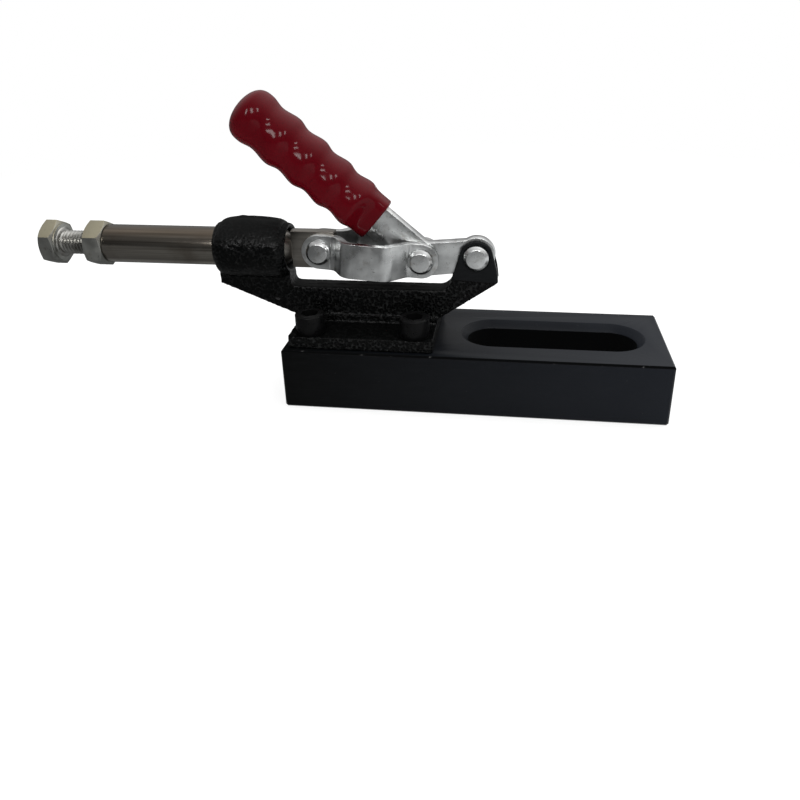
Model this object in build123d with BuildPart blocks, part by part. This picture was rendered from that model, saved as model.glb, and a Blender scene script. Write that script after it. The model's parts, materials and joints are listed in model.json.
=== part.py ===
from build123d import *
import math
import os

os.makedirs("parts", exist_ok=True)

# A push-pull toggle clamp, locked with its plunger out, screwed to a slotted
# steel riser block.  Millimetres.  X runs along the plunger, whose nose points
# to -X, Y runs across, Z is up.  The origin is on the underside of the riser,
# below the middle of the clamp's four screws.

# ---------------------------------------------------------------- driving sizes
# riser block
riser_length = 152.4
riser_width = 50.8
riser_height = 25.4
riser_nose_overhang = 31.5      # from the screws' middle to the end under the plunger
riser_chamfer = 0.8
slot_width = 21.6
slot_centres = 47.2             # between the centres of the slot's round ends
slot_bevel = 2.9
slot_middle = 75.8              # from the screws' middle to the slot's middle
tapped_depth = 17.0

# clamp body, one casting
flange_length = 58.4
flange_width = 45.8
flange_thickness = 5.0
flange_corner = 1.5
screw_spacing_x = 42.4
screw_spacing_y = 30.8
web_width = 10.0                # plate between barrel, flange and clevis
web_round = 0.9
rail_rise = 19.6                # riser top to the top of the rail
foot_width = 12.0
foot_rise = 2.9                 # of the milled step beside the rail, above the flange
nose_rise = 20.0                # riser top to the web's lower corner under the barrel
root_rise = 1.7                 # flange top to where each sloping edge starts
clevis_front = 9.9              # pivot to the clevis edge that faces the barrel, at the ledge
clevis_back = 8.8               # pivot to the clevis's outer edge
clevis_foot_run = 1.4           # lean of that edge between the ledge and the rail
clevis_shoulder_rise = 4.6      # ledge to the bend in the outer edge
clevis_shoulder_run = 0.6       # lean of the outer edge below that bend
clevis_lower_rise = 23.2        # riser top to the clevis's lower outer corner
ledge_rise = 24.0               # riser top to the floor between the ears
ear_thickness = 2.3
ear_radius = 6.6
rail_nose_fillet = 2.4
rail_clevis_fillet = 5.5
barrel_diameter = 25.4
barrel_length = 30.2
barrel_nose_round = 7.5         # length of the rounding at the barrel's front
barrel_tail_round = 5.5
barrel_round_drop = 4.2         # radial height of both roundings
barrel_mouth = 1.0              # chamfer at each end of the bore
spot_diameter = 14.6
spot_depth = 0.4
dimple_diameter = 3.4
dimple_depth = 0.7
dimple_back = 6.0               # from the barrel's rear face, towards its nose
dimple_drop = 19.6              # below the plunger's axis

# linkage
axis_rise = 34.6                # riser top to the plunger's axis
pivot_back = 44.55              # from the screws' middle to the pivot pin
pivot_drop = 0.9                # plunger's axis to the pivot pin
crank_length = 21.95
link_length = 41.3
middle_drop = 2.8               # plunger's axis to the link pin, past the dead centre
pin_diameter = 10.0
pin_stand = 2.3                 # of each pin end beyond what it passes through
pin_chamfer = 1.25
running_clearance = 0.05        # radial, shafts in holes
side_clearance = 0.1            # each side, between flat faces that slide
pin_gap = 0.3                   # between the plunger pin's halves and the tongue

# plunger, spindle bolt and lock nut
plunger_diameter = 15.88
plunger_length = 97.6
plunger_chamfer = 0.4
tongue_thickness = 4.8
tongue_margin = 6.0             # plunger pin to the end of the tongue
shoulder_setback = 12.0         # plunger pin to the end of the round part
shoulder_chamfer = 3.5
shoulder_stand = 0.8            # of the round part out of the barrel's rear, locked
thread_diameter = 10.0
hex_flats = 17.0
hex_rim = 8.1                   # radius of each hexagon's flat end face
hex_chamfer_angle = 30.0
head_height = 6.4
head_turn = 27.0                # degrees, a corner of the hexagon above -Y
washer_face_diameter = 15.6
washer_face_height = 0.5
bolt_length = 50.0
bolt_exposed = 12.7             # thread between the washer face and the nut
nut_height = 8.0
nut_turn = 28.5
spindle_bore_depth = 42.0

# links
link_thickness = 3.0
link_height = 14.0
link_bulge = 8.0                # how far the middle stands out from the eyes
bulge_start = 7.2               # from the plunger pin, along the link
bulge_full = 12.3
bulge_end = 28.6
bulge_back = 35.6
bend_radius = 5.0

# handle and grip
handle_thickness = 4.8
eye_radius = 7.4
crank_half_width = 6.4
elbow_radius = 6.75
elbow_drop = 0.35               # link pin to the middle of the elbow's round
elbow_fillet = 3.0
arm_width = 13.2
arm_length = 84.0
arm_offset = -0.05              # of the arm's middle from the link pin, square to the arm
arm_angle = 40.4                # degrees above -X
grip_start = 23.3               # along the arm from the link pin
grip_end = 91.4
collar_length = 6.0
collar_width = 18.0
collar_thickness = 11.5
collar_corner = 3.2
first_crest = 34.0
wave_pitch = 11.45
wave_stretch = 0.22             # growth of the pitch from wave to wave
wave_count = 5
wave_depth = 1.0
valley_shift = 0.8              # of each valley past the middle between two crests
crest_radius_low = 10.3
crest_radius_high = 11.0
grip_nose_bend = 2.3            # from the grip's end to the fullest point of its nose
grip_nose_radius = 8.7          # of the nose at that point
grip_wall = 0.05                # between the arm and its pocket in the grip

# cap screws
screw_diameter = 7.94
screw_head_diameter = 11.9
screw_head_height = 7.94
screw_head_chamfer = 0.5
screw_length = 19.0
screw_hole_diameter = 8.7
socket_flats = 6.35
socket_depth = 4.0
thread_fit = 0.05               # radial, screw in its tapped hole

# ---------------------------------------------------------------- derived places
axis_z = riser_height + axis_rise
flange_top = riser_height + flange_thickness
rail_top = riser_height + rail_rise
ledge_z = riser_height + ledge_rise
pivot = (pivot_back, axis_z - pivot_drop)
elbow_run = math.sqrt(crank_length**2 - (middle_drop - pivot_drop) ** 2)
elbow = (pivot_back - elbow_run, axis_z - middle_drop)
link_run = math.sqrt(link_length**2 - middle_drop**2)
tongue_pin = (elbow[0] - link_run, axis_z)
barrel_back = tongue_pin[0] - shoulder_setback - shoulder_stand
barrel_front = barrel_back - barrel_length
round_z = axis_z + barrel_diameter / 2 - barrel_round_drop
tongue_end = tongue_pin[0] + tongue_margin
plunger_front = tongue_end - plunger_length
shoulder_x = tongue_pin[0] - shoulder_setback
nut_front = plunger_front - nut_height
bearing_x = nut_front - bolt_exposed - washer_face_height
slot_gap = handle_thickness / 2 + side_clearance
ear_outer = slot_gap + ear_thickness
eye_inner = slot_gap
pin_hole_radius = pin_diameter / 2 + running_clearance
hex_radius = hex_flats / math.sqrt(3)
bore_radius = plunger_diameter / 2 + running_clearance
plunger_axis = Axis((0, 0, axis_z), (1, 0, 0))
link_tilt = math.atan2(elbow[1] - tongue_pin[1], elbow[0] - tongue_pin[0])
link_along = (math.cos(link_tilt), 0, math.sin(link_tilt))
link_up = (-math.sin(link_tilt), 0, math.cos(link_tilt))
link_side_plane = Plane(origin=(tongue_pin[0], 0, tongue_pin[1]), x_dir=link_along, z_dir=(0, -1, 0))
link_top_plane = Plane(origin=(tongue_pin[0], 0, tongue_pin[1]), x_dir=link_along, z_dir=link_up)
arm_along = (-math.cos(math.radians(arm_angle)), 0, math.sin(math.radians(arm_angle)))
arm_plane = Plane(origin=(elbow[0], 0, elbow[1]), x_dir=arm_along, z_dir=(0, 1, 0))
arm_end_plane = Plane(
    origin=arm_plane.from_local_coords((grip_start, arm_offset, 0)),
    x_dir=tuple(arm_plane.y_dir),
    z_dir=arm_along,
)


def finish(piece, label):
    """Name a piece and write its STEP file."""
    piece.part.label = label
    export_step(piece.part, "parts/" + label + ".step")


def pin_along_y(place, half_length):
    """A pin across the clamp, chamfered at both ends; place is its X and Z."""
    with BuildPart() as pin:
        with BuildSketch(Plane.XZ):
            with Locations(place):
                Circle(pin_diameter / 2)
        extrude(amount=half_length, both=True)
        chamfer(pin.edges().filter_by(GeomType.CIRCLE), pin_chamfer)
    return pin


def hex_envelope(start, end):
    """Half outline, about the plunger's axis, of a chamfered hexagon between two X places."""
    slope = (hex_radius - hex_rim) * math.tan(math.radians(hex_chamfer_angle))
    points = [(start, 0), (start, hex_rim), (start + slope, hex_radius)]
    points += [(end - slope, hex_radius), (end, hex_rim), (end, 0)]
    return [(x, axis_z + r) for x, r in points]


# ---------------------------------------------------------------- riser block
screw_places = [
    (x * screw_spacing_x / 2, y * screw_spacing_y / 2) for x in (-1, 1) for y in (-1, 1)
]

with BuildPart() as riser_block:
    with BuildSketch(Plane.XY):
        with Locations((-riser_nose_overhang, 0)):
            Rectangle(riser_length, riser_width, align=(Align.MIN, Align.CENTER))
    extrude(amount=riser_height)
    chamfer(riser_block.edges(), riser_chamfer)
    with BuildSketch(Plane.XY):
        with Locations((slot_middle, 0)):
            SlotCenterToCenter(slot_centres, slot_width)
    extrude(amount=riser_height, mode=Mode.SUBTRACT)
    slot_rim = riser_block.faces().sort_by(Axis.Z)[-1].inner_wires()[0]
    chamfer(slot_rim.edges(), slot_bevel)
    with BuildSketch(Plane.XY.offset(riser_height)):
        with Locations(*screw_places):
            Circle(screw_diameter / 2 + thread_fit)
    extrude(amount=-tapped_depth, mode=Mode.SUBTRACT)
finish(riser_block, "riser_block")

# ---------------------------------------------------------------- clamp body
with BuildPart() as clamp_body:
    # side view of the web: under the barrel, over the flange and up to the clevis
    with BuildSketch(Plane.XZ) as side:
        with BuildLine():
            Polyline(
                (barrel_front, axis_z),
                (barrel_front, riser_height + nose_rise),
                (-flange_length / 2, flange_top + root_rise),
                (-flange_length / 2, flange_top - root_rise),
                (flange_length / 2, flange_top - root_rise),
                (flange_length / 2, flange_top + root_rise),
                (pivot_back + clevis_back, riser_height + clevis_lower_rise),
                (pivot_back + clevis_back, ledge_z),
                (pivot_back - clevis_front, ledge_z),
                (pivot_back - clevis_front - clevis_foot_run, rail_top),
                (barrel_back, rail_top),
                (barrel_back, axis_z),
                close=True,
            )
        make_face()
        fillet(side.vertices().sort_by_distance((barrel_back, rail_top, 0))[0], rail_nose_fillet)
        clevis_foot = (pivot_back - clevis_front - clevis_foot_run, rail_top, 0)
        fillet(side.vertices().sort_by_distance(clevis_foot)[0], rail_clevis_fillet)
    extrude(amount=web_width / 2, both=True)
    rail_edges = clamp_body.edges().filter_by(Axis.X).filter_by_position(Axis.Z, rail_top, rail_top)
    fillet(rail_edges, web_round)
    # foot of the rail, then the flange with its holes and spot faces
    with BuildSketch(Plane.XY.offset(flange_top - root_rise)):
        Rectangle(flange_length, foot_width)
    extrude(amount=root_rise + foot_rise)
    with BuildSketch(Plane.XY.offset(riser_height)):
        RectangleRounded(flange_length, flange_width, flange_corner)
    extrude(amount=flange_thickness)
    # barrel, turned about the plunger's axis
    with BuildSketch(Plane.XZ):
        with BuildLine():
            nose_curve = Spline(
                (barrel_front, round_z),
                (barrel_front + barrel_nose_round, axis_z + barrel_diameter / 2),
                tangents=[(0, 1), (1, 0)],
            )
            tail_curve = Spline(
                (barrel_back - barrel_tail_round, axis_z + barrel_diameter / 2),
                (barrel_back, round_z),
                tangents=[(1, 0), (0, -1)],
            )
            Line(nose_curve @ 1, tail_curve @ 0)
            Polyline(nose_curve @ 0, (barrel_front, axis_z), (barrel_back, axis_z), tail_curve @ 1)
        make_face()
    revolve(axis=plunger_axis)
    # two ears
    with BuildSketch(Plane.XZ):
        with BuildLine():
            Polyline(
                (pivot_back - clevis_front, ledge_z),
                (pivot_back + clevis_back, ledge_z),
                (pivot_back + clevis_back - clevis_shoulder_run, ledge_z + clevis_shoulder_rise),
                pivot,
                close=True,
            )
        make_face()
        with Locations(pivot):
            Circle(ear_radius)
        make_hull()
    extrude(amount=ear_outer, both=True)
    with BuildSketch(Plane.XZ):
        with Locations((pivot_back, ledge_z)):
            Rectangle(
                2 * (clevis_front + clevis_back),
                2 * (pivot[1] - ledge_z + ear_radius),
                align=(Align.CENTER, Align.MIN),
            )
    extrude(amount=slot_gap, both=True, mode=Mode.SUBTRACT)
    # plunger bore with a chamfered mouth at each end, then the holes
    with BuildSketch(Plane.XZ):
        with BuildLine():
            Polyline(
                (barrel_front, axis_z),
                (barrel_front, axis_z + bore_radius + barrel_mouth),
                (barrel_front + barrel_mouth, axis_z + bore_radius),
                (barrel_back - barrel_mouth, axis_z + bore_radius),
                (barrel_back, axis_z + bore_radius + barrel_mouth),
                (barrel_back, axis_z),
                close=True,
            )
        make_face()
    revolve(axis=plunger_axis, mode=Mode.SUBTRACT)
    with BuildSketch(Plane.XZ):
        with Locations(pivot):
            Circle(pin_hole_radius)
    extrude(amount=ear_outer, both=True, mode=Mode.SUBTRACT)
    with BuildSketch(Plane.XY.offset(riser_height)):
        with Locations(*screw_places):
            Circle(screw_hole_diameter / 2)
    extrude(amount=flange_thickness, mode=Mode.SUBTRACT)
    with BuildSketch(Plane.XY.offset(flange_top - spot_depth)):
        with Locations(*screw_places):
            Circle(spot_diameter / 2)
    extrude(amount=foot_rise, mode=Mode.SUBTRACT)
    # gate mark on each side of the web
    for side_sign in (-1, 1):
        with BuildSketch(Plane.XZ.offset(side_sign * web_width / 2)):
            with Locations((barrel_back - dimple_back, axis_z - dimple_drop)):
                Circle(dimple_diameter / 2)
        extrude(amount=-side_sign * dimple_depth, mode=Mode.SUBTRACT)
finish(clamp_body, "clamp_body")

# ---------------------------------------------------------------- plunger
with BuildPart() as plunger:
    with BuildSketch(Plane.YZ.offset(plunger_front)):
        with Locations((0, axis_z)):
            Circle(plunger_diameter / 2)
    extrude(amount=plunger_length)
    chamfer(plunger.edges().filter_by(GeomType.CIRCLE).sort_by(Axis.X)[0], plunger_chamfer)
    # the round part's rear end is a short cone
    with BuildSketch(Plane.XZ):
        with BuildLine():
            Polyline(
                (shoulder_x - shoulder_chamfer, axis_z + plunger_diameter / 2),
                (shoulder_x, axis_z + plunger_diameter / 2 - shoulder_chamfer),
                (shoulder_x, axis_z + plunger_diameter),
                (shoulder_x - shoulder_chamfer, axis_z + plunger_diameter),
                close=True,
            )
        make_face()
    revolve(axis=plunger_axis, mode=Mode.SUBTRACT)
    # two flats leave the tongue
    for side_sign in (-1, 1):
        with BuildSketch(Plane.XZ.offset(side_sign * tongue_thickness / 2)):
            with Locations((shoulder_x, axis_z)):
                Rectangle(
                    shoulder_setback + tongue_margin,
                    plunger_diameter,
                    align=(Align.MIN, Align.CENTER),
                )
        extrude(amount=side_sign * plunger_diameter / 2, mode=Mode.SUBTRACT)
    with BuildSketch(Plane.XZ):
        with Locations(tongue_pin):
            Circle(pin_hole_radius)
    extrude(amount=tongue_thickness, both=True, mode=Mode.SUBTRACT)
    with BuildSketch(Plane.YZ.offset(plunger_front)):
        with Locations((0, axis_z)):
            Circle(thread_diameter / 2 + running_clearance)
    extrude(amount=spindle_bore_depth, mode=Mode.SUBTRACT)
finish(plunger, "plunger")

# ---------------------------------------------------------------- spindle bolt
with BuildPart() as spindle_bolt:
    with BuildSketch(Plane.YZ.offset(bearing_x - head_height)):
        with Locations((0, axis_z)):
            RegularPolygon(hex_radius, 6, rotation=180 - head_turn)
    extrude(amount=head_height)
    with BuildSketch(Plane.XZ):
        with BuildLine():
            Polyline(*hex_envelope(bearing_x - head_height, bearing_x), close=True)
        make_face()
    revolve(axis=plunger_axis, mode=Mode.INTERSECT)
    with BuildSketch(Plane.YZ.offset(bearing_x)):
        with Locations((0, axis_z)):
            Circle(washer_face_diameter / 2)
    extrude(amount=washer_face_height)
    with BuildSketch(Plane.YZ.offset(bearing_x)):
        with Locations((0, axis_z)):
            Circle(thread_diameter / 2)
    extrude(amount=bolt_length)
    chamfer(spindle_bolt.edges().filter_by(GeomType.CIRCLE).sort_by(Axis.X)[-1], pin_chamfer)
finish(spindle_bolt, "spindle_bolt")

# ---------------------------------------------------------------- lock nut
with BuildPart() as lock_nut:
    with BuildSketch(Plane.YZ.offset(nut_front)):
        with Locations((0, axis_z)):
            RegularPolygon(hex_radius, 6, rotation=180 - nut_turn)
    extrude(amount=nut_height)
    with BuildSketch(Plane.XZ):
        with BuildLine():
            Polyline(*hex_envelope(nut_front, nut_front + nut_height), close=True)
        make_face()
    revolve(axis=plunger_axis, mode=Mode.INTERSECT)
    with BuildSketch(Plane.YZ.offset(nut_front)):
        with Locations((0, axis_z)):
            Circle(thread_diameter / 2 + running_clearance)
    extrude(amount=nut_height, mode=Mode.SUBTRACT)
finish(lock_nut, "lock_nut")

# ---------------------------------------------------------------- two bulged links
for side_sign, side_name in ((-1, "front"), (1, "rear")):
    eye_y = side_sign * (eye_inner + link_thickness / 2)
    bulge_y = side_sign * (eye_inner + link_thickness / 2 + link_bulge)
    with BuildPart() as link:
        with BuildSketch(link_top_plane):
            with BuildLine():
                FilletPolyline(
                    (-link_height, eye_y),
                    (bulge_start, eye_y),
                    (bulge_full, bulge_y),
                    (bulge_end, bulge_y),
                    (bulge_back, eye_y),
                    (link_length + link_height, eye_y),
                    radius=bend_radius,
                )
            trace(line_width=link_thickness)
        extrude(amount=link_height, both=True)
        with BuildSketch(link_side_plane):
            with Locations((link_length / 2, 0)):
                SlotCenterToCenter(link_length, link_height)
        extrude(amount=riser_width, both=True, mode=Mode.INTERSECT)
        with BuildSketch(link_side_plane):
            with Locations((0, 0), (link_length, 0)):
                Circle(pin_hole_radius)
        extrude(amount=riser_width, both=True, mode=Mode.SUBTRACT)
    finish(link, "link_" + side_name)

# ---------------------------------------------------------------- pins
link_pin = pin_along_y(elbow, eye_inner + link_thickness + pin_stand)
finish(link_pin, "link_pin")

pivot_pin = pin_along_y(pivot, ear_outer + pin_stand)
finish(pivot_pin, "pivot_pin")

whole_pin = pin_along_y(tongue_pin, eye_inner + link_thickness + pin_stand)
with BuildPart() as plunger_pin:
    add(whole_pin.part)
    with BuildSketch(Plane.XZ):
        with Locations(tongue_pin):
            Circle(pin_diameter)
    extrude(amount=tongue_thickness / 2 + pin_gap, both=True, mode=Mode.SUBTRACT)
finish(plunger_pin, "plunger_pin")

# ---------------------------------------------------------------- handle
with BuildPart() as handle:
    with BuildSketch(Plane.XZ):
        with Locations((elbow[0], elbow[1] - elbow_drop)):
            Circle(elbow_radius)
        with Locations(pivot):
            Circle(crank_half_width)
        make_hull()
        with Locations(pivot):
            Circle(eye_radius)
    extrude(amount=handle_thickness / 2, both=True)
    with BuildSketch(arm_plane):
        with Locations((0, arm_offset)):
            Rectangle(arm_length, arm_width, align=(Align.MIN, Align.CENTER))
    extrude(amount=handle_thickness / 2, both=True)
    across = handle.edges().filter_by(Axis.Y)
    inner_corner = (elbow[0] + elbow_fillet, 0, elbow[1] + elbow_radius)
    fillet(across.sort_by_distance(inner_corner)[0], elbow_fillet)
    with BuildSketch(Plane.XZ):
        with Locations(elbow, pivot):
            Circle(pin_hole_radius)
    extrude(amount=handle_thickness, both=True, mode=Mode.SUBTRACT)
finish(handle, "handle")

# ---------------------------------------------------------------- grip
crests = [first_crest + i * wave_pitch + i**2 * wave_stretch for i in range(wave_count)]
crest_step = (crest_radius_high - crest_radius_low) / (wave_count - 1)
wave_points = [(grip_start + collar_length, crest_radius_low - wave_depth)]
for i in range(wave_count):
    crest_radius = crest_radius_low + i * crest_step
    wave_points.append((crests[i], crest_radius))
    if i < wave_count - 1:
        valley = (crests[i] + crests[i + 1]) / 2 + valley_shift
        wave_points.append((valley, crest_radius - wave_depth))

with BuildPart() as handle_grip:
    with BuildSketch(arm_plane):
        with BuildLine():
            wave = Spline(*[(s, arm_offset + r) for s, r in wave_points], tangents=[(1, 0), (1, 0)])
            nose = Spline(
                wave @ 1,
                (grip_end - grip_nose_bend, arm_offset + grip_nose_radius),
                (grip_end, arm_offset),
                tangents=[(1, 0), (0, -1)],
            )
            Polyline(nose @ 1, (wave_points[0][0], arm_offset), wave @ 0)
        make_face()
    revolve(axis=Axis(arm_plane.from_local_coords((0, arm_offset, 0)), arm_along))
    with BuildSketch(arm_end_plane):
        RectangleRounded(collar_width, collar_thickness, collar_corner)
    extrude(amount=collar_length)
    with BuildSketch(arm_end_plane):
        Rectangle(arm_width + 2 * grip_wall, handle_thickness + 2 * grip_wall)
    extrude(amount=arm_length - grip_start + grip_wall, mode=Mode.SUBTRACT)
finish(handle_grip, "handle_grip")

# ---------------------------------------------------------------- cap screws
for number, (x, y) in enumerate(screw_places, start=1):
    seat = flange_top - spot_depth
    with BuildPart() as cap_screw:
        with BuildSketch(Plane.XY.offset(seat)):
            with Locations((x, y)):
                Circle(screw_head_diameter / 2)
        extrude(amount=screw_head_height)
        chamfer(cap_screw.edges().sort_by(Axis.Z)[-1], screw_head_chamfer)
        with BuildSketch(Plane.XY.offset(seat)):
            with Locations((x, y)):
                Circle(screw_diameter / 2)
        extrude(amount=-screw_length)
        with BuildSketch(Plane.XY.offset(seat + screw_head_height)):
            with Locations((x, y)):
                RegularPolygon(socket_flats / math.sqrt(3), 6, rotation=90)
        extrude(amount=-socket_depth, mode=Mode.SUBTRACT)
    finish(cap_screw, "cap_screw_" + str(number))
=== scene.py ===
"""Looks of the toggle clamp: finishes, casting texture, thread, moulded grip, light and camera."""
import json
import math

import bmesh
import bpy
import numpy as np
from mathutils import Matrix, Vector, noise
from mathutils.bvhtree import BVHTree


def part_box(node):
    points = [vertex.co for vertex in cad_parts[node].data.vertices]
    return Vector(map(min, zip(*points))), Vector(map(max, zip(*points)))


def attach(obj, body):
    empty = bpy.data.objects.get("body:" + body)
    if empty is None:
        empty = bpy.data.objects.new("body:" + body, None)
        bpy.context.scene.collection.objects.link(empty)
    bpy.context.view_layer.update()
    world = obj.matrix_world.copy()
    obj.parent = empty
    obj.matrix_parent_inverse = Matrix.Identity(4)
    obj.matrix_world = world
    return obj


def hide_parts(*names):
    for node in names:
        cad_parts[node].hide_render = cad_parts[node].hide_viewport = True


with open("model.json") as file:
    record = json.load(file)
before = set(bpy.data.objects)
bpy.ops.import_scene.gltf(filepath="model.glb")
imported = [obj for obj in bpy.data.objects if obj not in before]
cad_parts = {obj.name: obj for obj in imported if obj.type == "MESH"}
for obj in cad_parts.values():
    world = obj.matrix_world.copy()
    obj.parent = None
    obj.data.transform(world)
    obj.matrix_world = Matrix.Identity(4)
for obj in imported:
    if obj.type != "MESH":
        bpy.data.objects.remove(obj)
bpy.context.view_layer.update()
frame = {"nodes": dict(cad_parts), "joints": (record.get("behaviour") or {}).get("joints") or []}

MM = 0.001
nodes = frame["nodes"]
joints = {joint["name"]: joint for joint in frame["joints"]}

# ------------------------------------------------------------------ places read from the frame
link_pin = Vector(joints["link_swing"]["pos_m"])
plunger_low, plunger_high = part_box("plunger")
axis_z = (plunger_low.z + plunger_high.z) / 2
barrel_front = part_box("clamp_body")[0].x

# ------------------------------------------------------------------ places known from the CAD
LEDGE_Z = 49.4 * MM  # foot of the clevis's milled faces
CLEVIS_X = 34.3 * MM  # where the clevis begins
RAIL_TOP = 45.0 * MM
SCREW_PLACES = [(x * 21.2 * MM, y * 15.4 * MM) for x in (-1, 1) for y in (-1, 1)]
BLOCK_EDGE = 24.5 * MM  # start of the long top edges, both across and up
SLOT_MIDDLE = 75.8 * MM
SLOT_HALF_LENGTH = 35 * MM
SLOT_HALF_WIDTH = 11 * MM
SLOT_WALL_TOP = 22.3 * MM
ARM_ANGLE = math.radians(40.4)

# ------------------------------------------------------------------ camera
CAMERA_PLACE = Vector((58.775, -273.611, 148.775)) * MM
CAMERA_YAW = math.radians(-7.70)
CAMERA_PITCH = math.radians(24.01)
CAMERA_ROLL = math.radians(-0.93)
CAMERA_SENSOR = 36  # millimetres
CAMERA_FOCAL = 719.8 / 800 * CAMERA_SENSOR  # solved in pixels of an 800-pixel picture
CAMERA_SHIFT = (-0.0265, -0.0890)


def add_camera():
    """The photograph's viewpoint, shown without any tone curve."""
    bpy.context.scene.view_settings.view_transform = "Standard"
    forward = Vector((
        math.sin(CAMERA_YAW) * math.cos(CAMERA_PITCH),
        math.cos(CAMERA_YAW) * math.cos(CAMERA_PITCH),
        -math.sin(CAMERA_PITCH),
    ))
    level = Vector((math.cos(CAMERA_YAW), -math.sin(CAMERA_YAW), 0))
    upward = level.cross(forward)
    right = math.cos(CAMERA_ROLL) * level + math.sin(CAMERA_ROLL) * upward
    top = -math.sin(CAMERA_ROLL) * level + math.cos(CAMERA_ROLL) * upward
    data = bpy.data.cameras.new("camera")
    data.lens = CAMERA_FOCAL
    data.sensor_width = CAMERA_SENSOR
    data.shift_x, data.shift_y = CAMERA_SHIFT
    data.clip_start = 0.01
    camera = bpy.data.objects.new("camera", data)
    turn = Matrix((right, top, -forward)).transposed().to_4x4()
    camera.matrix_world = Matrix.Translation(CAMERA_PLACE) @ turn
    bpy.context.scene.collection.objects.link(camera)
    bpy.context.scene.camera = camera


# ------------------------------------------------------------------ shader helpers
def colour(r, g, b):
    return (r, g, b, 1.0)


class Graph:
    """A node tree under construction: nodes are added in one call each, with their inputs."""

    def __init__(self, tree):
        self.tree = tree
        self.coordinates = self.add("TexCoord").outputs
        self.place = self.coordinates["Object"]

    def feed(self, socket, value):
        """Link a socket or set a plain value."""
        if isinstance(value, bpy.types.NodeSocket):
            self.tree.links.new(value, socket)
        else:
            socket.default_value = value

    def add(self, kind, inputs=None, **settings):
        """A new shader node with its settings and inputs."""
        made = self.tree.nodes.new("ShaderNode" + kind)
        for key, value in settings.items():
            setattr(made, key, value)
        for key, value in (inputs or {}).items():
            self.feed(made.inputs[key], value)
        return made

    def axes(self, vector):
        """The three components of a vector."""
        made = self.add("SeparateXYZ", {"Vector": vector}).outputs
        return made["X"], made["Y"], made["Z"]

    def scaled(self, x, y, z):
        """Object coordinates stretched by a factor along each axis."""
        return self.add("Mapping", {"Vector": self.place, "Scale": (x, y, z)}).outputs["Vector"]

    def noise(self, scale, detail=3.0, roughness=0.5, vector=None):
        inputs = {"Vector": vector or self.place, "Scale": scale}
        inputs.update({"Detail": detail, "Roughness": roughness})
        return self.add("TexNoise", inputs).outputs["Fac"]

    def cells(self, scale):
        """Distance to the nearest of scattered points, without sharp creases."""
        inputs = {"Vector": self.place, "Scale": scale, "Smoothness": 0.6}
        return self.add("TexVoronoi", inputs, feature="SMOOTH_F1").outputs["Distance"]

    def band(self, value, low, high, out_low=0.0, out_high=1.0):
        """Map a range of value to another range, clamped."""
        inputs = {"Value": value, "From Min": low, "From Max": high}
        inputs.update({"To Min": out_low, "To Max": out_high})
        return self.add("MapRange", inputs).outputs["Result"]

    def above(self, value, limit, fade):
        """A mask that rises from 0 at the limit to 1 one fade beyond it."""
        return self.band(value, limit, limit + fade)

    def below(self, value, limit, fade):
        """A mask that falls from 1 at the limit to 0 one fade beyond it."""
        return self.band(value, limit, limit + fade, 1, 0)

    def maths(self, operation, first, second=0.0):
        made = self.add("Math", operation=operation)
        self.feed(made.inputs[0], first)
        self.feed(made.inputs[1], second)
        return made.outputs["Value"]

    def times(self, product, *factors):
        """The product of two or more values."""
        for factor in factors:
            product = self.maths("MULTIPLY", product, factor)
        return product

    def mix(self, factor, first, second):
        """Blend two colours."""
        inputs = {"Factor": factor, "A": first, "B": second}
        return self.add("Mix", inputs, data_type="RGBA").outputs["Result"]

    def bump(self, height, distance, strength=1.0, under=None):
        inputs = {"Height": height, "Distance": distance, "Strength": strength}
        if under is not None:
            inputs["Normal"] = under
        return self.add("Bump", inputs).outputs["Normal"]


class Shader(Graph):
    """The graph of a new material, with its principled surface."""

    def __init__(self, name):
        self.material = bpy.data.materials.new(name)
        self.material.use_nodes = True
        super().__init__(self.material.node_tree)
        self.surface = self.tree.nodes["Principled BSDF"]

    def set(self, **inputs):
        """Set the surface shader's sockets; underscores stand for spaces."""
        for key, value in inputs.items():
            self.feed(self.surface.inputs[key.replace("_", " ")], value)


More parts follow.
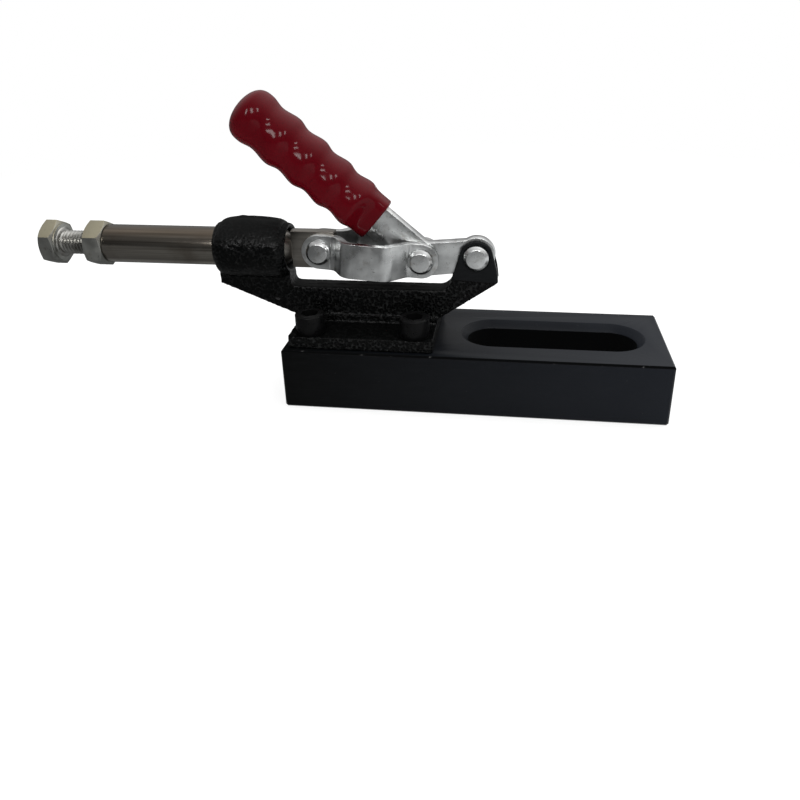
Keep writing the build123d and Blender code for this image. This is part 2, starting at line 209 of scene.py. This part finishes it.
# ------------------------------------------------------------------ materials
def black_oxide_block():
    """Milled bar, black-oxide finish: grain along its length, clouds, specks and nicked edges."""
    s = Shader("black_oxide_block")
    x, y, z = s.axes(s.place)
    clouds = s.noise(35, 4)
    grain = s.noise(1, 3, vector=s.scaled(60, 2600, 2600))
    specks = s.band(s.noise(1300, 1), 0.77, 0.79)
    # painted light: the bar's colour grows lighter and bluer towards its right end
    along = s.band(x, -32 * MM, 120 * MM)
    dark = s.mix(along, colour(0.0004, 0.0005, 0.0005), colour(0.0046, 0.0057, 0.0082))
    light = s.mix(along, colour(0.0011, 0.0012, 0.0011), colour(0.0077, 0.0092, 0.0125))
    tone = s.mix(clouds, dark, light)
    tone = s.mix(s.band(grain, 0.4, 0.75, 0, 0.2), tone, colour(0.009, 0.0095, 0.0108))
    tone = s.mix(s.times(specks, 0.5), tone, colour(0.05, 0.05, 0.05))
    # painted shade darkens the inside of the slot and a painted dark reflection darkens the long
    # top edges; both are also dull, and the edges are nicked
    aside = s.maths("ABSOLUTE", y)
    from_slot = s.maths("ABSOLUTE", s.maths("SUBTRACT", x, SLOT_MIDDLE))
    slot_painted_shade = s.times(
        s.below(z, SLOT_WALL_TOP, 0.3 * MM),
        s.below(aside, SLOT_HALF_WIDTH, 0.5 * MM),
        s.below(from_slot, SLOT_HALF_LENGTH, 1 * MM),
    )
    edges = s.times(s.above(aside, BLOCK_EDGE, 0.2 * MM), s.above(z, BLOCK_EDGE, 0.2 * MM))
    nicks = s.times(edges, s.band(s.noise(700, 2), 0.68, 0.74, 0, 0.6))
    painted_dark_and_matt = s.maths("MAXIMUM", slot_painted_shade, edges)
    tone = s.mix(painted_dark_and_matt, tone, colour(0.0002, 0.0003, 0.0004))
    tone = s.mix(nicks, tone, colour(0.06, 0.06, 0.06))
    satin = s.maths("MAXIMUM", s.band(clouds, 0.3, 0.7, 0.3, 0.42), s.times(painted_dark_and_matt, 0.95))
    s.set(Base_Color=tone, Roughness=satin, Specular_IOR_Level=0.085)
    s.set(Normal=s.bump(grain, 0.015 * MM, 0.5, s.bump(s.noise(700, 3), 0.02 * MM, 0.5)))
    return s.material


def black_oxide_screw():
    """Black-oxide screw steel with faint clouds and a fine grain."""
    s = Shader("black_oxide_screw")
    clouds = s.noise(400, 3)
    tone = s.mix(clouds, colour(0.0012, 0.0012, 0.0013), colour(0.004, 0.004, 0.0042))
    rough = s.band(clouds, 0.3, 0.7, 0.24, 0.38)
    s.set(Base_Color=tone, Roughness=rough, Specular_IOR_Level=0.08)
    s.set(Normal=s.bump(s.noise(2500, 2), 0.03 * MM, 0.6))
    return s.material


def cast_paint():
    """Glossy black paint over a pebbled casting, with painted glints on the pebbles' tops and a
    painted shadow line at the foot of the milled faces; milled faces are greyer, with cutter marks.
    """
    s = Shader("cast_paint")
    x, y, z = s.axes(s.place)
    facing = s.axes(s.coordinates["Normal"])[2]
    clouds = s.noise(120, 3)
    # the milled faces end on a line that drops a little towards the clevis's outer end
    foot = s.band(x, 35 * MM, 54 * MM, LEDGE_Z + 0.3 * MM, LEDGE_Z - 0.7 * MM)
    line = s.maths("SUBTRACT", z, foot)
    outer = s.above(s.maths("ABSOLUTE", y), 4.3 * MM, 0.2 * MM)
    on_clevis = s.band(x, CLEVIS_X - 0.1 * MM, CLEVIS_X + 0.2 * MM)
    milled = s.times(outer, on_clevis, s.band(line, -0.05 * MM, 0.1 * MM))
    # painted shadow: a dark line along the foot of the milled faces
    ledge_painted_shadow = s.times(s.below(s.maths("ABSOLUTE", line), 0.12 * MM, 0.2 * MM), on_clevis)
    # pebbles fade on faces that look up and on the barrel
    rough_skin = s.times(
        s.band(facing, 0.7, 0.95, 1.0, 0.35),
        s.band(x, -34 * MM, -24 * MM, 0.4, 1.0),
    )
    pebbles = s.maths("ADD", s.cells(980), s.times(s.noise(1500, 3, 0.6), 0.8))
    skin = s.times(pebbles, rough_skin, s.maths("SUBTRACT", 1.0, milled))
    turned = {"Rotation": (0, math.radians(38), 0), "Scale": (160, 160, 2300)}
    cutter = s.add("Mapping", {"Vector": s.place, **turned}).outputs["Vector"]
    marks = s.noise(1, 2, vector=cutter)
    tone = s.mix(clouds, colour(0.0006, 0.0007, 0.0007), colour(0.0014, 0.0015, 0.0015))
    # painted glints: the pebbles' tops are lighter
    crests = s.times(s.band(pebbles, 0.9, 1.2, 0, 0.8), rough_skin)
    tone = s.mix(crests, tone, colour(0.012, 0.0125, 0.0125))
    bare = s.mix(marks, colour(0.0018, 0.0022, 0.0026), colour(0.006, 0.0067, 0.0075))
    tone = s.mix(milled, tone, bare)
    tone = s.mix(ledge_painted_shadow, tone, colour(0.0005, 0.0005, 0.0005))
    on_top = s.times(s.band(facing, 0.35, 0.9), s.band(z, 36 * MM, 40 * MM))
    duller = s.maths("MAXIMUM", s.times(milled, 0.16), s.times(on_top, 0.5))
    rough = s.maths("ADD", s.band(clouds, 0.3, 0.7, 0.16, 0.26), duller)
    s.set(Base_Color=tone, Roughness=rough, Specular_IOR_Level=0.1)
    cut = s.bump(s.times(marks, milled), 0.02 * MM, 0.6)
    s.set(Normal=s.bump(skin, 0.28 * MM, 0.9, cut))
    return s.material


def ground_steel():
    """Centreless-ground bar: fine turns round it, long brownish oil streaks, a worn tongue end."""
    s = Shader("ground_steel")
    x, _, z = s.axes(s.place)
    wide = s.noise(1, 3, 0.6, s.scaled(5, 330, 330))
    fine = s.noise(1, 2, 0.6, s.scaled(14, 1500, 1500))
    streaks = s.maths("ADD", s.times(wide, 0.7), s.times(fine, 0.3))
    streak = s.band(streaks, 0.36, 0.64)
    turns = s.noise(1, 2, vector=s.scaled(5200, 60, 60))
    worn = s.above(x, plunger_high.x - 26 * MM, 4 * MM)
    tone = s.mix(streak, colour(0.13, 0.116, 0.099), colour(0.44, 0.41, 0.365))
    tone = s.mix(s.band(s.noise(90, 4), 0.5, 0.72, 0, 0.5), tone, colour(0.15, 0.12, 0.09))
    tone = s.mix(s.times(worn, 0.75), tone, colour(0.17, 0.16, 0.145))
    # the upper part of the bar, away from its worn end, is darker and browner
    high = s.band(z, axis_z + 2.2 * MM, axis_z + 6 * MM, 0, 0.95)
    darker_upper_tone = s.mix(streak, colour(0.013, 0.01, 0.0075), colour(0.115, 0.092, 0.07))
    tone = s.mix(s.times(high, s.maths("SUBTRACT", 1.0, worn)), tone, darker_upper_tone)
    rough = s.maths("ADD", s.band(streaks, 0.3, 0.7, 0.13, 0.2), s.times(worn, 0.2))
    s.set(Base_Color=tone, Metallic=1.0, Roughness=rough)
    s.set(Normal=s.bump(turns, 0.006 * MM, 0.5, s.bump(s.noise(160, 3), 0.03 * MM, 0.4)))
    return s.material


def zinc(name, grain, tones, rough, tint=(1, 1.015, 1.01), painted_light_above=None, painted_top_reflection=None):
    """Bright zinc plate over stamped or turned steel.

    grain is the stretch of its fine lines and tones its darkest and brightest grey; it may be given
    a height from which painted light makes it brighter, and a colour of painted reflection for
    faces that look up.
    """
    s = Shader(name)
    _, y, z = s.axes(s.place)
    _, facing_y, facing_z = s.axes(s.coordinates["Normal"])
    clouds = s.noise(160, 4)
    lines = s.noise(1, 3, 0.55, s.scaled(*grain))
    low, high = (colour(*(grey * share for share in tint)) for grey in tones)
    tone = s.mix(s.band(clouds, 0.32, 0.68), low, high)
    # painted light: above the given height the zinc grows brighter
    if painted_light_above is not None:
        tone = s.mix(s.above(z, painted_light_above, 8 * MM), tone, colour(0.93, 0.94, 0.93))
    # painted shade: faces turned towards the middle plane, between the parts, are darker
    painted_shade_inside = s.band(s.times(y, facing_y), -3 * MM, -1 * MM, 0.6, 0)
    tone = s.mix(painted_shade_inside, tone, colour(0.1, 0.1, 0.1))
    # painted reflection: faces that look up take a warm olive tint
    if painted_top_reflection is not None:
        tone = s.mix(s.band(facing_z, 0.1, 0.7, 0, 0.8), tone, colour(*painted_top_reflection))
    stains = s.band(s.noise(240, 5, 0.65), 0.56, 0.76, 0, 0.6)
    tone = s.mix(stains, tone, colour(0.2, 0.17, 0.135))
    pits = s.band(s.noise(900, 1), 0.7, 0.74, 0, 0.5)
    tone = s.mix(pits, tone, colour(0.09, 0.09, 0.09))
    s.set(Base_Color=tone, Metallic=1.0, Roughness=s.band(clouds, 0.3, 0.7, rough, rough + 0.14))
    s.set(Normal=s.bump(lines, 0.012 * MM, 0.6, s.bump(s.noise(420, 2), 0.06 * MM, 0.5)))
    return s.material


def vinyl():
    """Dipped vinyl: deep glossy red, with slow waves in its skin and a few dark specks."""
    s = Shader("red_vinyl_skin")
    clouds = s.noise(70, 3)
    grit = s.noise(900, 2)
    tone = s.mix(clouds, colour(0.042, 0.0009, 0.0024), colour(0.068, 0.0017, 0.004))
    tone = s.mix(s.band(grit, 0.66, 0.75, 0, 0.5), tone, colour(0.02, 0.001, 0.002))
    rough = s.band(clouds, 0.3, 0.7, 0.09, 0.14)
    s.set(Base_Color=tone, Roughness=rough, Specular_IOR_Level=0.1)
    s.set(Normal=s.bump(s.noise(110, 1), 0.08 * MM, 0.4, s.bump(grit, 0.004 * MM, 0.4)))
    return s.material


# ------------------------------------------------------------------ modifiers and meshes
WELD = ("WELD", {"merge_threshold": 0.0005 * MM})
FLATTEN = ("DECIMATE", {"decimate_type": "DISSOLVE", "angle_limit": math.radians(0.3)})


def add_modifiers(piece, steps):
    """Put modifiers on an object, each given as (type, settings)."""
    for kind, settings in steps:
        made = piece.modifiers.new(kind.lower(), kind)
        for key, value in settings.items():
            setattr(made, key, value)


def bevel(width, segments, angle, harden=True):
    """A bevel for edges sharper than an angle in degrees, as a modifier step."""
    settings = {"width": width, "segments": segments, "harden_normals": harden}
    settings.update({"limit_method": "ANGLE", "angle_limit": math.radians(angle)})
    return ("BEVEL", settings)


def smooth(mesh):
    mesh.polygons.foreach_set("use_smooth", [True] * len(mesh.polygons))


def finish_node(name, material, *breaks):
    """Give a CAD node its material and break its edges; a break is (width, segments, angle)."""
    piece = nodes[name]
    piece.data.materials.clear()
    piece.data.materials.append(material)
    add_modifiers(piece, [WELD, FLATTEN] + [bevel(*edge) for edge in breaks])
    smooth(piece.data)


def make_piece(name, mesh, body, slot, material, *replaced):
    """Link a new mesh, smooth it, give it its material, tie it to its CAD body and hide the CAD
    nodes it replaces.
    """
    piece = bpy.data.objects.new(name, mesh)
    bpy.context.scene.collection.objects.link(piece)
    smooth(mesh)
    mesh.materials.clear()
    mesh.materials.append(material)
    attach(piece, body)
    if replaced:
        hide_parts(*replaced)


def rings_mesh(name, rings):
    """A closed tube through rings of points, all with the same count."""
    count = len(rings[0])
    faces = []
    for r in range(len(rings) - 1):
        for k in range(count):
            n = (k + 1) % count
            here, there = r * count, (r + 1) * count
            faces.append((here + k, here + n, there + n, there + k))
    faces.append(tuple(reversed(range(count))))
    faces.append(tuple(range((len(rings) - 1) * count, len(rings) * count)))
    mesh = bpy.data.meshes.new(name)
    mesh.from_pydata([tuple(point) for ring in rings for point in ring], [], faces)
    mesh.update()
    return mesh


def evaluated_copy(name, node, steps):
    """A new mesh: the node's own, put through modifiers given as (type, settings)."""
    twin = bpy.data.objects.new(name, nodes[node].data.copy())
    bpy.context.scene.collection.objects.link(twin)
    add_modifiers(twin, steps)
    ready = twin.evaluated_get(bpy.context.evaluated_depsgraph_get())
    mesh = bpy.data.meshes.new_from_object(ready)
    bpy.data.objects.remove(twin)
    return mesh


def smooth_step(value, low, high):
    t = np.clip((value - low) / (high - low), 0, 1)
    return t * t * (3 - 2 * t)


# ------------------------------------------------------------------ casting
CASTING_VOXEL = 0.42 * MM
# the rest of this section is in millimetres
PEBBLE_DEPTH = 0.36
FLANGE_FOOT = 25.9
FLANGE_CLEAR = 32  # above the flange and its bosses
SCREW_SEAT = 7.4  # radius of the flat seat round a screw
BORE_RADIUS = 8.5
MOUTH_RADIUS = 9.8
BARREL_LENGTH = 31
CROWN_DEPTH = 1.5
CROWN_MIDDLE = 14  # behind the barrel's front
CROWN_REACH = 15
FLASH_WIDTH = 0.9
FLASH_ON_BARREL = 0.75
FLASH_ON_RAIL = 0.35
# lumps on the barrel's front, near its nose: x, z, height and radius
SCARS = [(-54.7, 63.1, 0.45, 0.9), (-52.4, 61.8, 0.3, 0.6), (-56.6, 63.9, 0.25, 0.6)]


def read_vectors(mesh, attribute):
    """A vector of every vertex, as rows."""
    flat = np.empty(len(mesh.vertices) * 3)
    mesh.vertices.foreach_get(attribute, flat)
    return flat.reshape(-1, 3)


def noise_at(points, scale=1, shift=(0, 0, 0)):
    shift = Vector(shift)
    return np.array([noise.noise(Vector(point) * scale + shift) for point in points])


def pebble_sink(places, normals):
    """How deep the pebbles sink the skin, in millimetres: nothing on machined places."""
    x, y, z = places.T / MM
    coarse = noise_at(places, 780)
    fine = noise_at(places, 1500, (7, 3, 1))
    slow = noise_at(places, 150)
    amount = np.full(len(places), PEBBLE_DEPTH)
    amount *= 1 - 0.72 * smooth_step(normals[:, 2], 0.6, 0.95)
    amount[(x > CLEVIS_X / MM) & (z > LEDGE_Z / MM - 0.2)] = 0
    amount[z < FLANGE_FOOT] = 0
    amount *= smooth_step(np.hypot(y, z - axis_z / MM), 9.4, 10.4)
    for screw_x, screw_y in SCREW_PLACES:
        reach = np.hypot(x - screw_x / MM, y - screw_y / MM)
        around = smooth_step(reach, SCREW_SEAT, SCREW_SEAT + 0.6)
        amount *= np.where(z < FLANGE_CLEAR, around, 1)
    return amount * (np.clip(0.5 + 0.5 * coarse + 0.25 * fine, 0, 1) + 0.25 * slow)


def cast_skin(mesh):
    """Pebble the casting, crown its barrel, raise lumps and the parting flash; keep its bore."""
    places = read_vectors(mesh, "co")
    normals = read_vectors(mesh, "normal")
    x, y, z = places.T / MM
    from_axis = np.hypot(y, z - axis_z / MM)
    run = x - barrel_front / MM
    sink = pebble_sink(places, normals)
    # the barrel's top falls away towards both ends
    upper = smooth_step(z, axis_z / MM + 3, axis_z / MM + 11)
    crown = np.clip(np.abs(run - CROWN_MIDDLE) / CROWN_REACH, 0, 1) ** 2.2
    outside = smooth_step(from_axis, 9.6, 11.5) * (run < BARREL_LENGTH)
    sink += CROWN_DEPTH * crown * upper * outside
    # the parting flash wanders along the barrel's top and the rail
    on_barrel = smooth_step(run, 3, 9) * (1 - smooth_step(run, 21, 27)) * upper
    on_rail = smooth_step(x, -27, -20) * (1 - smooth_step(x, 22, 30))
    on_rail *= np.abs(z - RAIL_TOP / MM) < 1
    wobble = noise_at([(place_x * 230, 5, 2) for place_x in places[:, 0]])
    flash = np.exp(-((y - 0.4 * wobble) / FLASH_WIDTH) ** 2) * np.clip(0.6 + wobble, 0.1, 1.1)
    sink -= flash * (FLASH_ON_BARREL * on_barrel + FLASH_ON_RAIL * on_rail)
    for scar_x, scar_z, height, reach in SCARS:
        away = (x - scar_x) ** 2 + (z - scar_z) ** 2
        sink -= height * np.exp(-away / reach ** 2) * (y < -8)
    places -= normals * (sink * MM)[:, None]
    # the bore and its mouths are machined: they keep the CAD's own surface
    surface = BVHTree.FromObject(nodes["clamp_body"], bpy.context.evaluated_depsgraph_get())
    ends = (run < 1.5) | (run > 28.5)
    machined = (from_axis < BORE_RADIUS) | (ends & (from_axis < MOUTH_RADIUS))
    for k in np.nonzero((run < BARREL_LENGTH - 0.2) & machined)[0]:
        places[k] = surface.find_nearest(Vector(places[k]))[0]
    mesh.vertices.foreach_set("co", places.ravel())
    mesh.update()


def add_casting(material):
    """The clamp's body as an even voxel skin with its casting texture in geometry."""
    voxels = {"mode": "VOXEL", "voxel_size": CASTING_VOXEL, "use_smooth_shade": True}
    steps = [WELD, ("REMESH", voxels), ("SMOOTH", {"factor": 0.5, "iterations": 2})]
    mesh = evaluated_copy("clamp_casting", "clamp_body", steps)
    cast_skin(mesh)
    make_piece("clamp_casting", mesh, "base", "black_paint", material, "clamp_body")


# ------------------------------------------------------------------ grip
# this section is in millimetres; the waves' valleys and crests: distance along the arm, radius
GRIP_PROFILE = [
    (29.3, 9.3), (34.0, 10.3), (40.6, 9.3), (45.67, 10.45), (52.5, 9.5), (57.78, 10.65),
    (64.85, 9.65), (70.33, 10.85), (77.6, 9.85), (83.32, 10.85),
]
GRIP_START = 23.3
GRIP_END = 91.4
DOME_START = 84.0
DOME_RINGS = 22
WAVE_STEP = 0.5
COLLAR_HALF_HEIGHT = 9.0
COLLAR_HALF_WIDTH = 5.75
COLLAR_ROUNDING = 0.7
COLLAR_POWER = 3.6  # squareness of the collar's section, where 2 is an ellipse
COLLAR_END = 27.5
ROUND_START = 34.0
GRIP_DROP = 0.05  # of the grip's middle below the arm's line
GRIP_POINTS = 96


def grip_radius(run):
    """Radius of the round part along the arm: half cosines between crests and valleys."""
    for (start, low), (end, high) in zip(GRIP_PROFILE, GRIP_PROFILE[1:]):
        if run <= end:
            t = max(0.0, (run - start) / (end - start))
            return low + (high - low) * (1 - math.cos(math.pi * t)) / 2
    start, crest = GRIP_PROFILE[-1]
    t = (run - start) / (GRIP_END - start)
    return crest * max(0.0, 1 - t ** 2.9) ** 0.5


def add_grip(material):
    """Moulded grip: a flat rounded collar that grows into five waves and a domed end."""
    along = Vector((-math.cos(ARM_ANGLE), 0, math.sin(ARM_ANGLE)))
    up = Vector((math.sin(ARM_ANGLE), 0, math.cos(ARM_ANGLE)))
    across = Vector((0, 1, 0))
    runs = [GRIP_START, GRIP_START + 0.15, GRIP_START + 0.4]
    runs += list(np.arange(GRIP_START + COLLAR_ROUNDING, DOME_START, WAVE_STEP))
    dome = GRIP_END - DOME_START
    for k in range(DOME_RINGS + 1):
        runs.append(DOME_START + dome * math.sin(math.pi / 2 * k / DOME_RINGS))
    rings = []
    for run in runs:
        left = max(0.0, 1 - (run - GRIP_START) / COLLAR_ROUNDING)
        edge = COLLAR_ROUNDING * left ** 2
        blend = float(smooth_step(run, COLLAR_END, ROUND_START))
        round_part = grip_radius(run)
        tall = COLLAR_HALF_HEIGHT - edge + (round_part - COLLAR_HALF_HEIGHT) * blend
        wide = COLLAR_HALF_WIDTH - edge + (round_part - COLLAR_HALF_WIDTH) * blend
        power = 2 / (COLLAR_POWER + (2 - COLLAR_POWER) * blend)
        ring = []
        for k in range(GRIP_POINTS):
            turn = 2 * math.pi * k / GRIP_POINTS
            c, d = math.cos(turn), math.sin(turn)
            n = math.copysign(abs(c) ** power, c) * tall - GRIP_DROP
            w = math.copysign(abs(d) ** power, d) * wide
            ring.append(link_pin + (along * run + up * n + across * w) * MM)
        rings.append(ring)
    mesh = rings_mesh("grip_skin", rings)
    make_piece("grip_skin", mesh, "handle", "red_vinyl", material, "handle_grip")


# ------------------------------------------------------------------ spindle
# this section is in millimetres, with distances from the head's front
SHANK_RADIUS = 5.35
SHANK_START = 6.5
THREAD_START = 6.9
THREAD_LENGTH = 49.0
THREAD_PITCH = 1.5
THREAD_CREST = 4.98
THREAD_ROOT = 4.12
THREAD_POINTS = 48
# one turn's outline: distance in pitches and radius
THREAD_PROFILE = [
    (-0.5, THREAD_ROOT), (-0.1, THREAD_CREST), (0.1, THREAD_CREST), (0.5, THREAD_ROOT),
]
# the washer face under the head: distance from the thread's start and radius
COLLAR_PROFILE = [(-0.35, 6.4), (0.05, 6.3), (0.35, 5.6), (0.6, 4.9), (0.7, 3.0)]
COLLAR_POINTS = 64


def on_spindle(run, radius, turn):
    """A point round the spindle's axis, from millimetres."""
    return (run * MM, radius * math.cos(turn) * MM, axis_z + radius * math.sin(turn) * MM)


def spindle_head(front):
    """The CAD's own bolt with softened edges and without its shank."""
    steps = [WELD, FLATTEN, bevel(0.25 * MM, 3, 25, harden=False)]
    head = evaluated_copy("spindle_head", "spindle_bolt", steps)
    work = bmesh.new()
    work.from_mesh(head)
    shank = [
        face for face in work.faces
        if all(math.hypot(v.co.y, v.co.z - axis_z) < SHANK_RADIUS * MM for v in face.verts)
        and face.calc_center_median().x > front + SHANK_START * MM
    ]
    bmesh.ops.delete(work, geom=shank, context="FACES")
    work.to_mesh(head)
    work.free()
    return head


def spindle_thread(start):
    """A coarse thread as one winding strip, whose crest rises over its first turn."""
    vertices, faces = [], []
    width = len(THREAD_PROFILE)
    for i in range(int(THREAD_LENGTH / THREAD_PITCH) * THREAD_POINTS + 1):
        turns = i / THREAD_POINTS
        height = 0.55 + 0.45 * min(1.0, turns)
        for offset, radius in THREAD_PROFILE:
            if radius == THREAD_CREST:
                radius = THREAD_ROOT + (THREAD_CREST - THREAD_ROOT) * height
            run = start + THREAD_PITCH * (turns + offset)
            vertices.append(on_spindle(run, radius, 2 * math.pi * turns))
        if i:
            a = (i - 1) * width
            for k in range(a, a + width - 1):
                faces.append((k, k + 1, k + width + 1, k + width))
    thread = bpy.data.meshes.new("spindle_thread")
    thread.from_pydata(vertices, [], faces)
    thread.update()
    return thread


def add_spindle(material, thread_material):
    """The spindle's own head with a real coarse thread in place of its plain shank."""
    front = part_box("spindle_bolt")[0].x
    head = spindle_head(front)
    make_piece("spindle_head", head, "spindle", "zinc", material, "spindle_bolt")
    start = front / MM + THREAD_START
    thread = spindle_thread(start)
    make_piece("spindle_thread", thread, "spindle", "zinc", thread_material)
    thread.polygons.foreach_set("use_smooth", [False] * len(thread.polygons))
    turns = [2 * math.pi * k / COLLAR_POINTS for k in range(COLLAR_POINTS)]
    rings = [[on_spindle(start + run, r, turn) for turn in turns] for run, r in COLLAR_PROFILE]
    collar = rings_mesh("spindle_collar", rings)
    make_piece("spindle_collar", collar, "spindle", "zinc", thread_material)


# ------------------------------------------------------------------ lights and floor
FLOOR_HALF = 6.0
SEEN_WHITE = 0.76  # how far the floor near the object is white by itself
NEAR_FLOOR = 0.22
FAR_FLOOR = 0.6
REFLECTED_LEFT = 0.16
REFLECTED_RIGHT = 0.9
LAMP_TARGET = (0.0, 0.0, 0.05)
TUBE_SIZE = (0.11, 0.28)
TUBE_POWER = 1.8
TUBE_PLACES = [(-0.24, -0.72, 0.54), (0.1, -0.78, 0.68), (0.46, -0.68, 0.76)]


def add_floor():
    """Pale floor: mostly white by itself to the camera, so that it keeps only a soft shadow."""
    mesh = bpy.data.meshes.new("floor")
    signs = ((-1, -1), (1, -1), (1, 1), (-1, 1))
    corners = [(x * FLOOR_HALF, y * FLOOR_HALF, 0) for x, y in signs]
    mesh.from_pydata(corners, [], [(0, 1, 2, 3)])
    floor = bpy.data.objects.new("floor", mesh)
    bpy.context.scene.collection.objects.link(floor)
    s = Shader("floor")
    path = s.add("LightPath").outputs
    s.set(Base_Color=colour(0.95, 0.95, 0.95), Roughness=0.9, Specular_IOR_Level=0.0)
    away = s.add("VectorMath", {0: s.place}, operation="LENGTH").outputs["Value"]
    near_white = s.band(away, NEAR_FLOOR, FAR_FLOOR, SEEN_WHITE, 1.0)
    share = s.times(path["Is Camera Ray"], near_white)
    white = s.add("Emission", {"Color": colour(1, 1, 1), "Strength": 1.0}).outputs["Emission"]
    layers = {0: share, 1: s.surface.outputs["BSDF"], 2: white}
    shown = s.add("MixShader", layers).outputs["Shader"]
    # in reflections the floor is darker on the left, like the room of the photograph
    tone = s.band(s.axes(s.place)[0], -0.08, 0.16, REFLECTED_LEFT, REFLECTED_RIGHT)
    dim = s.add("Emission", {"Color": colour(0.98, 0.995, 1), "Strength": tone}).outputs["Emission"]
    mirrored = s.maths("MAXIMUM", path["Is Glossy Ray"], path["Is Transmission Ray"])
    final = s.add("MixShader", {0: mirrored, 1: shown, 2: dim}).outputs["Shader"]
    s.feed(s.tree.nodes["Material Output"].inputs["Surface"], final)
    floor.data.materials.append(s.material)


def add_world():
    """White to the camera; as a light, a room that brightens upwards, backwards and rightwards."""
    world = bpy.data.worlds.new("studio")
    bpy.context.scene.world = world
    world.use_nodes = True
    g = Graph(world.node_tree)
    x, y, z = g.axes(g.coordinates["Generated"])
    room = g.times(
        g.band(z, 0.1, 0.95, 0.2, 1.4),
        g.band(y, -0.6, 0.3, 0.26, 1.0),
        g.band(x, -0.1, 0.8, 0.92, 2.0),
    )
    seen = g.add("LightPath").outputs["Is Camera Ray"]
    level = g.add("Mix", {"Factor": seen, "A": room, "B": 1.0}).outputs["Result"]
    background = world.node_tree.nodes["Background"].inputs
    g.feed(background["Color"], colour(1, 1, 1))
    g.feed(background["Strength"], level)


def add_lamp(name, place, size, power, mirrored=True):
    """A rectangular lamp aimed at the object; only mirrored lamps show as highlights."""
    data = bpy.data.lights.new(name, "AREA")
    data.shape = "RECTANGLE"
    data.size, data.size_y = size
    data.energy = power
    lamp = bpy.data.objects.new(name, data)
    lamp.location = place
    lamp.visible_glossy = mirrored
    lamp.rotation_mode = "QUATERNION"
    aim = Vector(LAMP_TARGET) - Vector(place)
    lamp.rotation_quaternion = aim.to_track_quat("-Z", "Y")
    bpy.context.scene.collection.objects.link(lamp)


def add_lamps():
    """Two soft lights that leave no highlight, and three tubes for the grip's and pins' glints."""
    add_lamp("overhead", (0.05, 0.3, 1.2), (2.0, 1.4), 20, mirrored=False)
    add_lamp("right_rear", (0.9, 0.7, 0.5), (0.5, 0.5), 4, mirrored=False)
    for number, place in enumerate(TUBE_PLACES):
        add_lamp(f"tube_{number}", place, TUBE_SIZE, TUBE_POWER)


# ------------------------------------------------------------------ the object
PLATE_GRAIN = (2600, 2600, 90)
TURNED_GRAIN = (900, 900, 900)
HEXAGON_GRAIN = (500, 1400, 1400)

zinc_plate = zinc("zinc_plate", PLATE_GRAIN, (0.42, 0.7), 0.24)
zinc_arm = zinc("zinc_arm", PLATE_GRAIN, (0.46, 0.72), 0.24, painted_light_above=71 * MM)
zinc_turned = zinc("zinc_turned", TURNED_GRAIN, (0.48, 0.74), 0.22)
zinc_thread = zinc("zinc_thread", TURNED_GRAIN, (0.33, 0.5), 0.24, (1, 0.99, 0.94))
zinc_hexagon = zinc(
    "zinc_hexagon", HEXAGON_GRAIN, (0.3, 0.46), 0.36, (0.99, 1, 0.94), painted_top_reflection=(0.3, 0.268, 0.175)
)
screw_finish = black_oxide_screw()
finish_node("riser_block", black_oxide_block(), (0.9 * MM, 2, 60), (0.12 * MM, 2, 32))
for number in range(1, 5):
    finish_node(f"cap_screw_{number}", screw_finish, (0.3 * MM, 3, 32))
finish_node("plunger", ground_steel(), (0.15 * MM, 2, 32))
for name, finish in (("link_front", zinc_plate), ("link_rear", zinc_plate), ("handle", zinc_arm)):
    finish_node(name, finish, (0.5 * MM, 3, 32))
for name in ("pivot_pin", "link_pin", "plunger_pin"):
    finish_node(name, zinc_turned, (0.15 * MM, 2, 25))
finish_node("lock_nut", zinc_hexagon, (0.2 * MM, 3, 25))
add_casting(cast_paint())
add_grip(vinyl())
add_spindle(zinc_hexagon, zinc_thread)

add_floor()
add_world()
add_lamps()
add_camera()
